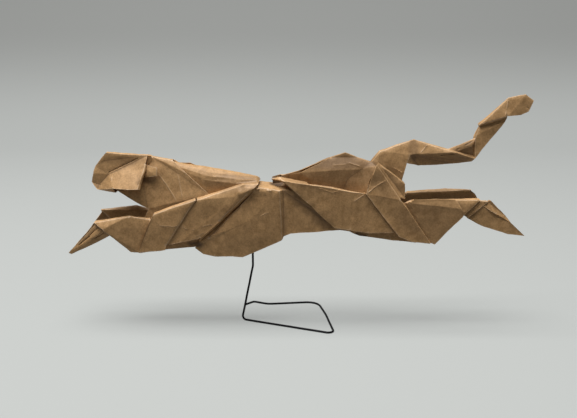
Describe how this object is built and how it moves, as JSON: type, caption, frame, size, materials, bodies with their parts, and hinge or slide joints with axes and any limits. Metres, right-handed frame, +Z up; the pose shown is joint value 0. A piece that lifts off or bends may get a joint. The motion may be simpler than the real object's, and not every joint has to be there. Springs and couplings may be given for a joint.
{
  "type": "origami cheetah on a wire stand",
  "caption": "Cheetah folded from one sheet of brown kraft paper in a stretched gallop, held above the table on a bent wire stand with an open loop for a foot.",
  "frame": {"origin": "centre of the bounding box in plan, at the table under the wire loop", "axes": "+X from the head to the tail, +Y from the side seen in the picture to the far side, +Z up"},
  "size_m": [0.2054, 0.04, 0.1048],
  "materials": {
    "kraft_paper": "matt brown kraft, creased",
    "black_wire": "satin black enamel"
  },
  "bodies": {
    "root": {"folded_cheetah": "kraft_paper", "wire_stand": "black_wire"}
  },
  "joints": []
}
